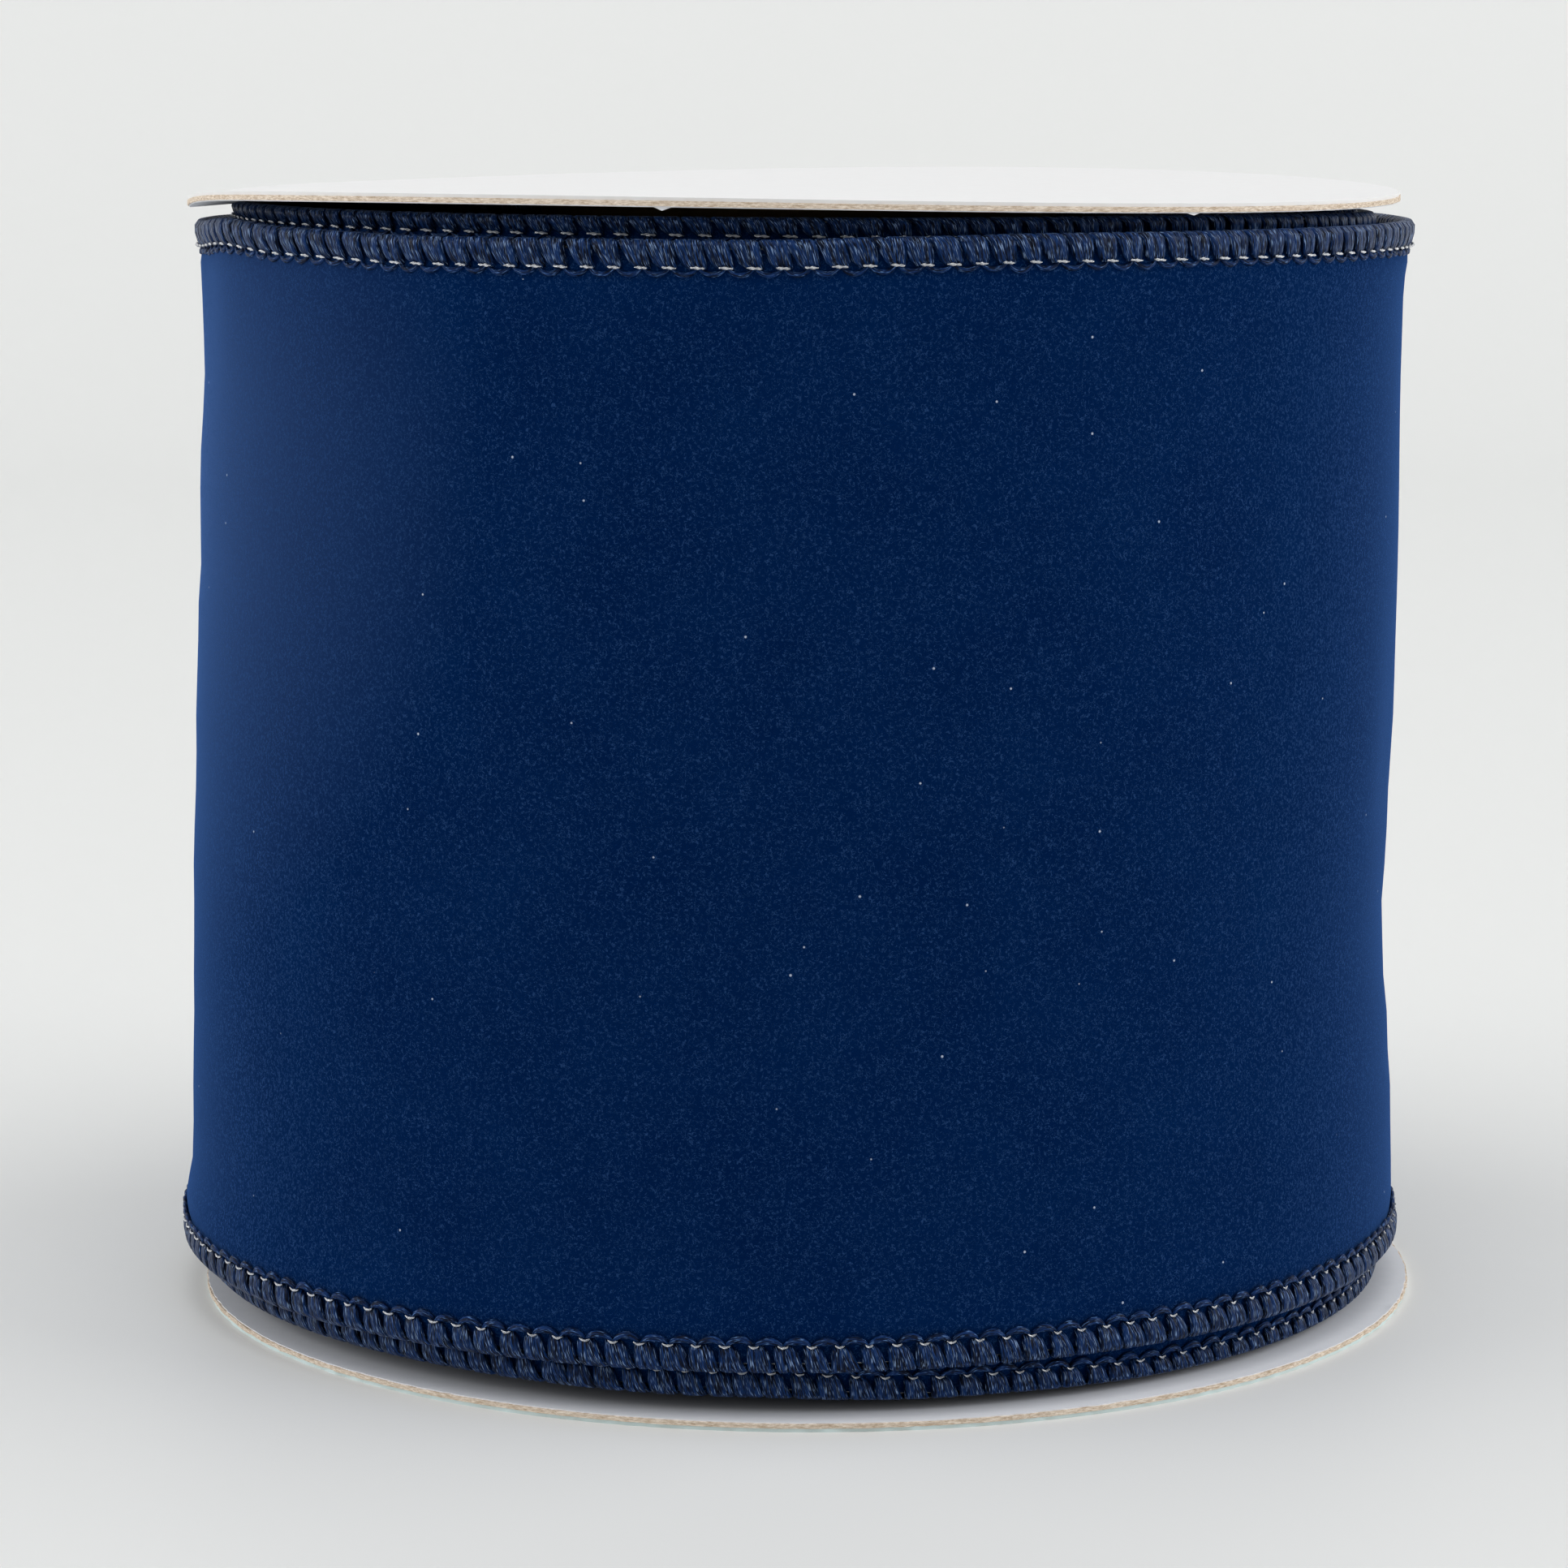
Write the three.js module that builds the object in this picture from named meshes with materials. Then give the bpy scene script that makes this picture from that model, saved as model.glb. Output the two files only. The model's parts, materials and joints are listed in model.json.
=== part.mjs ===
// A spool of wired-edge velvet ribbon, standing on one flange. Two paper-faced chipboard flanges are
// glued to the ends of a wound paper core. One strip of velvet is taped to the core and wound on it.
// Each edge of the strip has a wire, a cap of overlock thread over it and one line of silver thread.
// The last stretch of the strip is free and lifts off the roll about a vertical line, as a tail.
// Millimetres, +Z up along the spool. The origin is the middle of the face that the spool stands on.

import * as THREE from 'three';

// Spool
const flangeDiameter = 120.65;
const boardThickness = 0.62;
const innerLinerThickness = 0.1;
const outerLinerThickness = 0.16;
const linerInset = 0.3;
const coreOuterDiameter = 50.8;
const plyThickness = 0.4;
const plyNames = ['outer', 'middle', 'inner'];
const glueLine = 0.1;
const beadWidth = 1.5;
const beadHeight = 1.2;

// Ribbon
const ribbonWidth = 101.6;
const ribbonLength = 4572;
const velvetThickness = 0.96;
const threadThickness = 0.35;
const capHeight = 3.3;
const crestHeight = 0.8;
const wireSize = 0.4;
const tailLength = 38;
const tapeThickness = 0.15;
const tapeLength = 20;
const tapeMargin = 8;

// Fits
const gap = 0.3;
const edgeClearance = 2.95;

// Where the free end starts, counterclockwise from +X seen from above, so that it lies at the back
const hingeAngle = THREE.MathUtils.degToRad(100);

// Facets. The wound strip's facets get finer outwards only, so each turn clears the one inside it.
const flangeSides = 72;
const coreSides = 48;
const coarseStep = Math.PI / 6;
const fineStep = Math.PI / 12;
const fineTurns = 1.5;
const tapeSteps = 4;

// Worked out from the sizes above
const flangeThickness = innerLinerThickness + boardThickness + outerLinerThickness;
const clearWidth = ribbonWidth + 2 * edgeClearance;
const spoolHeight = clearWidth + 2 * flangeThickness;
const flangeRadius = flangeDiameter / 2;
const coreRadius = coreOuterDiameter / 2;
const plyPitch = plyThickness + glueLine;
const boreRadius = coreRadius - plyNames.length * plyThickness - (plyNames.length - 1) * glueLine;
const middle = spoolHeight / 2;
const threadOffset = velvetThickness + gap;
const turnPitch = threadOffset + threadThickness + gap;
const tapeRadius = coreRadius + glueLine;
const firstTurnRadius = (tapeRadius + tapeThickness + gap) / Math.cos(coarseStep / 2);
const growth = turnPitch / (2 * Math.PI);

// The angle wound before the hinge. A strip's length is the mean radius of its turns times the angle,
// so the angle solves growth/2 * a^2 + radius * a = length. It is a whole number of coarse facets.
const meanStartRadius = firstTurnRadius + velvetThickness / 2;
const woundLength = ribbonLength - tailLength;
const woundAngle = (Math.sqrt(meanStartRadius ** 2 + 2 * growth * woundLength) - meanStartRadius) / growth;
const rollAngle = Math.round(woundAngle / coarseStep) * coarseStep;
const startAngle = hingeAngle - rollAngle;
const radiusAt = (angle) => firstTurnRadius + growth * (angle - startAngle);
const hingeRadius = radiusAt(hingeAngle);
const tailEndAngle = hingeAngle + tailLength / hingeRadius;

const materials = {
  velvet: new THREE.MeshStandardMaterial({ color: 0x0a2448, roughness: 0.95, metalness: 0 }),
  thread: new THREE.MeshStandardMaterial({ color: 0x16305e, roughness: 0.6, metalness: 0 }),
  silver: new THREE.MeshStandardMaterial({ color: 0xc3c9d2, roughness: 0.35, metalness: 0.8 }),
  wire: new THREE.MeshStandardMaterial({ color: 0x8d9094, roughness: 0.4, metalness: 1 }),
  chipboard: new THREE.MeshStandardMaterial({ color: 0xb79c80, roughness: 0.9, metalness: 0 }),
  whitePaper: new THREE.MeshStandardMaterial({ color: 0xececec, roughness: 0.8, metalness: 0 }),
  paleLiner: new THREE.MeshStandardMaterial({ color: 0xcfdedd, roughness: 0.8, metalness: 0 }),
  kraft: new THREE.MeshStandardMaterial({ color: 0xa88b68, roughness: 0.9, metalness: 0 }),
  glue: new THREE.MeshStandardMaterial({ color: 0xe6dcc0, roughness: 0.35, metalness: 0 }),
  tape: new THREE.MeshStandardMaterial({ color: 0xd9cfae, roughness: 0.5, metalness: 0 }),
};

const spool = new THREE.Group();
const tail = new THREE.Group();
const object = new THREE.Group();
object.add(spool, tail);

function addPiece(group, name, geometry, material) {
  const mesh = new THREE.Mesh(geometry, material);
  mesh.name = name;
  group.add(mesh);
  return mesh;
}

// A flat disc with its lower face at z = bottom
function disc(radius, thickness, bottom) {
  const geometry = new THREE.CylinderGeometry(radius, radius, thickness, flangeSides);
  geometry.rotateX(Math.PI / 2);
  geometry.translate(0, 0, bottom + thickness / 2);
  return geometry;
}

// A ring turned about Z from a closed outline of [radius, z] points
function ring(outline, sides) {
  const points = [...outline, outline[0]].map(([radius, z]) => new THREE.Vector2(radius, z));
  const geometry = new THREE.LatheGeometry(points, sides);
  geometry.rotateX(Math.PI / 2);
  return geometry;
}

// Angles of the facets from the core to the hinge: coarse first, fine for the last turns
function rollAngles() {
  const fineFrom = hingeAngle - fineTurns * 2 * Math.PI;
  const angles = [];
  for (let angle = startAngle; angle < fineFrom - fineStep / 2; angle += coarseStep) {
    angles.push(angle);
  }
  const left = Math.round((hingeAngle - angles.at(-1) - coarseStep) / fineStep);
  for (let step = left; step >= 0; step -= 1) {
    angles.push(hingeAngle - step * fineStep);
  }
  return angles;
}

// Angles of the free end's facets, which stand over the facets of the turn below
function tailAngles() {
  const angles = [hingeAngle + gap / hingeRadius];
  for (let angle = hingeAngle + fineStep; angle < tailEndAngle - fineStep / 4; angle += fineStep) {
    angles.push(angle);
  }
  angles.push(tailEndAngle);
  return angles;
}

// A strip carried along the winding: a closed outline of [offset outwards, z], counterclockwise with
// the offset to the right, stands at the winding's radius at each angle, and the two ends are capped.
function woundStrip(outline, angles, radius = radiusAt) {
  const count = outline.length;
  const positions = [];
  for (const angle of angles) {
    for (const [offset, z] of outline) {
      const r = radius(angle) + offset;
      positions.push(r * Math.cos(angle), r * Math.sin(angle), z);
    }
  }
  const index = [];
  for (let step = 0; step < angles.length - 1; step += 1) {
    for (let side = 0; side < count; side += 1) {
      const a = step * count + side;
      const b = step * count + ((side + 1) % count);
      index.push(a, a + count, b, b, a + count, b + count);
    }
  }
  const flat = outline.map(([offset, z]) => new THREE.Vector2(offset, z));
  const last = (angles.length - 1) * count;
  for (const [a, b, c] of THREE.ShapeUtils.triangulateShape(flat, [])) {
    index.push(a, b, c, last + a, last + c, last + b);
  }
  const geometry = new THREE.BufferGeometry();
  geometry.setAttribute('position', new THREE.Float32BufferAttribute(positions, 3));
  geometry.setIndex(index);
  geometry.computeVertexNormals();
  return geometry;
}

const rectangle = (inner, outer, low, high) => [
  [inner, low],
  [outer, low],
  [outer, high],
  [inner, high],
];

// Outlines across the strip. Heights are measured in from an edge, and side is +1 for the upper one.
const halfWidth = ribbonWidth / 2;
const wireDepth = crestHeight + gap;
const velvetDepth = wireDepth + wireSize + gap;
const silverDepth = capHeight + gap;

function bandOutline(inner, outer, depthA, depthB, side) {
  const heights = [middle + side * (halfWidth - depthA), middle + side * (halfWidth - depthB)];
  return rectangle(inner, outer, Math.min(...heights), Math.max(...heights));
}

// The thread cap: a crest over the wire and a leg down the outer face of the velvet
function capOutline(side) {
  const edge = middle + side * halfWidth;
  const outer = threadOffset + threadThickness;
  const points = [
    [0, edge],
    [0, edge - side * crestHeight],
    [threadOffset, edge - side * crestHeight],
    [threadOffset, edge - side * capHeight],
    [outer, edge - side * capHeight],
    [outer, edge],
  ];
  return side > 0 ? points : points.reverse();
}

const wireInset = (velvetThickness - wireSize) / 2;
const velvetOutline = rectangle(
  0,
  velvetThickness,
  middle - halfWidth + velvetDepth,
  middle + halfWidth - velvetDepth,
);

function addRibbon(group, suffix, angles) {
  addPiece(group, `velvet_${suffix}`, woundStrip(velvetOutline, angles), materials.velvet);
  for (const [edge, side] of [['upper', 1], ['lower', -1]]) {
    const wire = bandOutline(wireInset, wireInset + wireSize, wireDepth, wireDepth + wireSize, side);
    const silver = bandOutline(
      threadOffset,
      threadOffset + threadThickness,
      silverDepth,
      silverDepth + threadThickness,
      side,
    );
    const cap = capOutline(side);
    addPiece(group, `${edge}_edge_threads_${suffix}`, woundStrip(cap, angles), materials.thread);
    addPiece(group, `${edge}_edge_wire_${suffix}`, woundStrip(wire, angles), materials.wire);
    addPiece(group, `${edge}_silver_thread_${suffix}`, woundStrip(silver, angles), materials.silver);
  }
}

// Flanges, named from the ribbon outwards: inner liner, board, outer liner. side is +1 for the top.
function addFlange(name, side) {
  const layers = [
    ['inner_liner', innerLinerThickness, flangeRadius - linerInset, materials.whitePaper],
    ['board', boardThickness, flangeRadius, materials.chipboard],
    [
      'outer_liner',
      outerLinerThickness,
      flangeRadius - linerInset,
      side > 0 ? materials.whitePaper : materials.paleLiner,
    ],
  ];
  let height = middle + (side * clearWidth) / 2;
  for (const [layer, thickness, radius, material] of layers) {
    const bottom = side > 0 ? height : height - thickness;
    addPiece(spool, `${name}_flange_${layer}`, disc(radius, thickness, bottom), material);
    height += side * thickness;
  }
}

// Core: plies wound one inside the other, from flange to flange, and a bead of glue at each end
function addCore() {
  const low = flangeThickness;
  const high = spoolHeight - flangeThickness;
  plyNames.forEach((ply, index) => {
    const outer = coreRadius - index * plyPitch;
    const outline = rectangle(outer - plyThickness, outer, low, high);
    addPiece(spool, `core_${ply}_ply`, ring(outline, coreSides), materials.kraft);
  });
  const beadOuter = (boreRadius - glueLine) * Math.cos(Math.PI / coreSides);
  for (const [name, foot, side] of [['lower', low, 1], ['upper', high, -1]]) {
    const outline = [
      [beadOuter - beadWidth, foot],
      [beadOuter, foot],
      [beadOuter, foot + side * beadHeight],
    ];
    const closed = side > 0 ? outline : outline.reverse();
    addPiece(spool, `${name}_glue_bead`, ring(closed, coreSides), materials.glue);
  }
}

// The tape between the core and the start of the velvet
function addTape() {
  const span = tapeLength / tapeRadius;
  const angles = [];
  for (let step = 0; step <= tapeSteps; step += 1) {
    angles.push(startAngle + (step * span) / tapeSteps);
  }
  const outline = rectangle(
    0,
    tapeThickness,
    middle - halfWidth + tapeMargin,
    middle + halfWidth - tapeMargin,
  );
  const geometry = woundStrip(outline, angles, () => tapeRadius / Math.cos(span / tapeSteps / 2));
  addPiece(spool, 'start_tape', geometry, materials.tape);
}

addFlange('bottom', -1);
addFlange('top', 1);
addCore();
addTape();
addRibbon(spool, 'roll', rollAngles());
addRibbon(tail, 'tail', tailAngles());

export default object;
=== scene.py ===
import json
import math

import bpy
import numpy as np
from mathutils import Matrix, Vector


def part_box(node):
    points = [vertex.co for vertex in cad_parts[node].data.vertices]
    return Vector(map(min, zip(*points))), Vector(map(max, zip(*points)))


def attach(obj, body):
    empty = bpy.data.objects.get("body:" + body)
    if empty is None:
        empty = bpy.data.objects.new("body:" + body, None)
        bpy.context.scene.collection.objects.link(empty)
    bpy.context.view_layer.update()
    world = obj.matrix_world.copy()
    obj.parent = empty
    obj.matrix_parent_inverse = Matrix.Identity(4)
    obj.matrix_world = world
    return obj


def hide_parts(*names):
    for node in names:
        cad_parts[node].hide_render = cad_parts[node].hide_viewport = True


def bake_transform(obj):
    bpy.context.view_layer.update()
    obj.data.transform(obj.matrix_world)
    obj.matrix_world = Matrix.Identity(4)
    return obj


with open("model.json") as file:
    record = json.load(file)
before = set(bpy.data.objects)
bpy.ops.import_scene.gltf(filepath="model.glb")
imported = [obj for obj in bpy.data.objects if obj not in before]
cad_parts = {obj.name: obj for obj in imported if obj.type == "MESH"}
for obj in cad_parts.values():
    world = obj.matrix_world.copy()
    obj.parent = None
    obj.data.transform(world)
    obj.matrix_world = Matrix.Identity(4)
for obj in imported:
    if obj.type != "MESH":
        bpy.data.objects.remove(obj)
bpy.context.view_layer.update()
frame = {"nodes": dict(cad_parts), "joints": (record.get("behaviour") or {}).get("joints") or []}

# A spool of wired velvet ribbon. Shapes are worked out in millimetres, and meshes are in metres.
mm = 0.001
random = np.random.default_rng(11)


def boxOf(node):
    # a node's lowest and highest corners, in millimetres
    low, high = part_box(node)
    return np.array(low) / mm, np.array(high) / mm


hinge = frame["joints"][0]
hingeX, hingeY = (value / mm for value in hinge["pos_m"][:2])
hingeAngle = math.atan2(hingeY, hingeX)
hingeRadius = math.hypot(hingeX, hingeY)  # where the ribbon's outer face leaves the roll
floorFace = boxOf("bottom_flange_inner_liner")[1][2]
ceilingFace = boxOf("top_flange_inner_liner")[0][2]
middle = (floorFace + ceilingFace) / 2
threadRoundOff = 0.23  # the stitched edges are pulled in by this
ribbonTop = boxOf("upper_edge_threads_roll")[1][2]
ribbonBottom = boxOf("lower_edge_threads_roll")[0][2]
halfWidth = (ribbonTop - ribbonBottom) / 2 - threadRoundOff
flangeRadius = boxOf("bottom_flange_board")[1][0]


def toLinear(code):
    # sRGB hex to linear: c/12.92 below 0.04045, else ((c + 0.055)/1.055)^2.4
    parts = [int(code[i : i + 2], 16) / 255 for i in (1, 3, 5)]
    linear = [c / 12.92 if c <= 0.04045 else ((c + 0.055) / 1.055) ** 2.4 for c in parts]
    return (*linear, 1.0)


def addNode(tree, kind, settings=None, links=None):
    # settings name an input or a property of the node, links an input and the socket that feeds it
    node = tree.nodes.new("ShaderNode" + kind)
    for key, value in (settings or {}).items():
        if isinstance(key, int) or key in node.inputs:
            node.inputs[key].default_value = value
        else:
            setattr(node, key, value)
    for key, socket in (links or {}).items():
        tree.links.new(socket, node.inputs[key])
    return node


def newMaterial(name, shaderSettings):
    # a material with one Principled shader
    material = bpy.data.materials.new(name)
    material.use_nodes = True
    tree = material.node_tree
    tree.nodes.clear()
    shader = addNode(tree, "BsdfPrincipled", shaderSettings)
    addNode(tree, "OutputMaterial", None, {"Surface": shader.outputs["BSDF"]})
    return material, tree, shader


def smooth(x, low, high):
    # 0 below low, 1 above high, and 3t^2 - 2t^3 between them
    t = np.clip((x - low) / (high - low), 0, 1)
    return t * t * (3 - 2 * t)


def throughKnots(x, knots):
    # passes through each (place, value) knot, level there, and runs as 3t^2 - 2t^3 between knots
    places, values = np.array(knots).T
    i = np.clip(np.searchsorted(places, x) - 1, 0, len(places) - 2)
    t = smooth(x, places[i], places[i + 1])
    return values[i] + (values[i + 1] - values[i]) * t


def makePiece(name, parts, material, sharp=None):
    # each part is its points in millimetres, its lists of faces and its thread map or None
    # the sum of the faces' signed volumes says whether they point outwards, and turns them if not
    points = np.concatenate([part[0].reshape(-1, 3) for part in parts])
    starts = np.cumsum([0] + [part[0].size // 3 for part in parts])
    faceSets = [faces + start for part, start in zip(parts, starts) for faces in part[1]]
    volume = 0.0
    for faces in faceSets:
        first = points[faces[:, 0]]
        for k in range(1, faces.shape[1] - 1):
            crossed = np.cross(points[faces[:, k]], points[faces[:, k + 1]])
            volume += np.einsum("ij,ij->", first, crossed)
    if volume < 0:
        faceSets = [faces[:, ::-1] for faces in faceSets]
    corners = np.concatenate([faces.ravel() for faces in faceSets])
    sizes = np.concatenate([np.full(len(faces), faces.shape[1]) for faces in faceSets])
    mesh = bpy.data.meshes.new(name)
    mesh.vertices.add(len(points))
    mesh.vertices.foreach_set("co", (points * mm).ravel())
    mesh.loops.add(len(corners))
    mesh.loops.foreach_set("vertex_index", corners.astype(np.int32))
    mesh.polygons.add(len(sizes))
    mesh.polygons.foreach_set("loop_start", (np.cumsum(sizes) - sizes).astype(np.int32))
    mesh.polygons.foreach_set("loop_total", sizes.astype(np.int32))
    mesh.update(calc_edges=True)
    mesh.polygons.foreach_set("use_smooth", np.ones(len(sizes), dtype=bool))
    if parts[0][2] is not None:
        layer = mesh.uv_layers.new(name="threadMap")
        uv = np.concatenate([part[2].reshape(-1, 2) for part in parts])
        layer.data.foreach_set("uv", uv[corners].ravel())
    mesh.materials.append(material)
    if sharp is not None:
        mesh.set_sharp_from_angle(angle=math.radians(sharp))
    mesh.validate()
    piece = bpy.data.objects.new(name, mesh)
    bpy.context.collection.objects.link(piece)
    return piece


def gridFaces(rows, columns, start=0):
    # quads of a grid of points numbered row by row
    index = np.arange(rows * columns).reshape(rows, columns) + start
    quads = [index[:-1, :-1], index[:-1, 1:], index[1:, 1:], index[1:, :-1]]
    return np.stack(quads, -1).reshape(-1, 4)


def sheetFaces(rows, columns):
    # two grids, outer then inner, joined along their four rims into one closed body
    outer = np.arange(rows * columns).reshape(rows, columns)
    inner = outer + rows * columns
    faces = [gridFaces(rows, columns), gridFaces(rows, columns, rows * columns)[:, ::-1]]
    rims = (
        (outer[0], inner[0]),
        (inner[-1], outer[-1]),
        (inner[:, 0], outer[:, 0]),
        (outer[:, -1], inner[:, -1]),
    )
    for a, b in rims:
        faces.append(np.stack([a[:-1], b[:-1], b[1:], a[1:]], -1))
    return [np.concatenate(faces)]


def tubeFaces(count, steps, around):
    # count tubes, each with steps rings of around points, closed at both ends by quads
    ring = np.arange(around)
    a = np.arange(steps - 1)[:, None] * around + ring
    b = np.arange(steps - 1)[:, None] * around + (ring + 1) % around
    wall = np.stack([a, a + around, b + around, b], -1).reshape(-1, 4)
    caps = []
    for k in range(1, around - 2, 2):
        caps.append([0, k, k + 1, k + 2])
        last = (steps - 1) * around
        caps.append([last, last + k + 2, last + k + 1, last + k])
    one = np.concatenate([wall, np.array(caps)])
    return [(one[None] + (np.arange(count) * steps * around)[:, None, None]).reshape(-1, 4)]


winding = {
    "turnPitch": 1.91,
    "rollLength": 4534.0,
    "tailLength": 38.0,
    "midLayer": 0.8,  # from the ribbon's outer face to its middle
    "looseFrom": 30.0,  # the winding is tight on the core up to this radius
    "looseTo": 56.0,  # and fully loose from this one
    "dentFade": 2.6,  # turns over which dents die out inwards
    "pressedFrom": 1.35,  # the edges are pressed this near to a flange
    "pressedShare": 0.5,
    "tailCurl": 1.1,  # how far the free end stands off the roll
    "foldLength": 9.0,  # the free end's bend is spread over this much ribbon
    "outerArc": 1100.0,  # the outer three turns, which show at the edges, are made fine
    "standAzimuth": 187.0,  # the middle of the side where the loose turns lean out
    "waveTurns": (0.8, 1.1),  # the edge wave dies out between these turns
    "waveHeights": (25.0, 46.0),  # and starts between these heights over the ribbon's middle
    "ripples": ((0.07, 3, 0.06, 0.0), (0.05, 7, -0.045, 1.3)),  # size, waves round, lean, start
}
# height of the ribbon's middle over the spool's middle, by turns back from the hinge
windingHeights = [
    (-0.2, 0.9), (0.28, 0.9), (0.53, 1.12), (0.78, 0.8), (1.05, -0.9), (1.28, -3.3),
    (1.36, -3.4), (1.43, -3.3), (1.49, -2.6), (1.54, -1.75), (1.65, -1.35), (1.78, -1.25),
    (2.03, -0.2), (2.28, 1.6), (2.45, 3.3), (2.6, 3.6), (2.8, 3.8), (3.0, 2.6), (3.28, 2.7),
    (3.5, 1.0), (4.0, 0.8), (4.6, 1.6), (5.2, -1.2), (6.0, 0.6), (7.0, -0.6), (9.0, 0.5),
    (12.0, -0.4), (17.0, 0.0),
]
# how far the loose turns stand out, by height, on the left where they lean out and on the right
leftStand = [
    (0.0, 2.7), (5.0, 3.4), (8.0, 3.5), (14.0, 2.65), (20.0, 2.6), (28.0, 2.35), (40.0, 2.1),
    (55.0, 1.5), (67.0, 1.05), (72.0, 0.65), (80.0, 0.6), (92.0, 0.0), (98.0, 0.2), (103.0, 0.35),
    (107.0, 0.7),
]
rightStand = [
    (0.0, 0.5), (5.0, 0.7), (10.0, 0.3), (18.0, 0.1), (26.0, -0.38), (33.0, -0.95), (38.0, -1.15),
    (46.0, -0.7), (60.0, -0.15), (75.0, -0.05), (90.0, -0.15), (99.0, -0.08), (104.0, 0.45),
    (107.0, 0.8),
]
# depth, azimuth, height, half width in degrees, half height
dents = [
    (0.5, 194, 100.0, 6, 8.0),
    (0.4, 346, 55.0, 6, 12.0),
    (0.22, 225, 66.0, 12, 26.0),
    (0.2, 300, 24.0, 14, 22.0),
    (0.3, 60, 74.0, 16, 20.0),
    (0.35, 130, 32.0, 18, 18.0),
]
# the outer turn's upper edge waves up and down, by azimuth
edgeWave = [
    (0, 0.0), (150, 0.0), (190, 0.1), (204, 0.75), (217, 0.2), (236, -0.2), (267, -0.28),
    (279, 0.0), (292, 0.2), (335, 0.13), (360, 0.0),
]
growth = winding["turnPitch"] / (2 * math.pi)


def woundAngle(arc):
    # the angle b back from the hinge at an arc length a: a = R*b - growth/2 * b^2, solved for b
    radius = hingeRadius - winding["midLayer"]
    return (radius - np.sqrt(radius**2 - 2 * growth * arc)) / growth


def pressedBetween(z):
    # heights near a flange are squeezed: z' = limit + share * (z - limit) past the limit
    low, high = floorFace + winding["pressedFrom"], ceilingFace - winding["pressedFrom"]
    inside = np.clip(z, low, high)
    return inside + winding["pressedShare"] * (z - inside)


def ribbonPoint(arc, height, out):
    # arc is back from the hinge, height is from the ribbon's middle, out is from its outer face
    # radius = R - growth * b + out + how far the loose turns stand out - the dents + the ripples
    back = woundAngle(arc)
    azimuth = hingeAngle - back
    degrees = np.degrees(azimuth) % 360
    turns = back / (2 * math.pi)
    nominal = hingeRadius - growth * back
    loose = smooth(nominal, winding["looseFrom"], winding["looseTo"])
    nearEdge = (1 - smooth(turns, *winding["waveTurns"])) * smooth(height, *winding["waveHeights"])
    wave = throughKnots(degrees, edgeWave) * nearEdge
    z = pressedBetween(middle + throughKnots(turns, windingHeights) + wave + height)
    towardsLeft = (1 + np.cos(azimuth - math.radians(winding["standAzimuth"]))) / 2
    stand = throughKnots(z, leftStand) * towardsLeft
    stand = stand + throughKnots(z, rightStand) * (1 - towardsLeft)
    fade = np.exp(-np.clip(turns, 0, None) / winding["dentFade"])
    for depth, where, level, wide, tall in dents:
        apart = (degrees - where + 180) % 360 - 180
        stand = stand - fade * depth * np.exp(-((apart / wide) ** 2) - ((z - level) / tall) ** 2)
    for size, waves, lean, start in winding["ripples"]:
        stand = stand + size * np.sin(waves * azimuth + lean * z + start)
    curl = winding["tailCurl"] * smooth(-arc, 8.0, winding["tailLength"] + 6) ** 2
    radius = nominal + out + loose * stand + curl
    return np.stack(np.broadcast_arrays(radius * np.cos(azimuth), radius * np.sin(azimuth), z), -1)


def arcSteps(first, last, fineTo, fineStep, coarseStep):
    # places along the ribbon, fine up to fineTo and coarse past it
    turnOver = min(fineTo, last)
    fine = np.linspace(first, turnOver, max(2, round((turnOver - first) / fineStep) + 1))
    if last <= fineTo:
        return fine
    coarse = np.linspace(fineTo, last, round((last - fineTo) / coarseStep) + 1)
    return np.concatenate([fine, coarse[1:]])


sheenPatchAt = (-58.0, -12.0, 84.0)  # the middle of the painted sheen patch, a paler place where the pile catches the light


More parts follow.
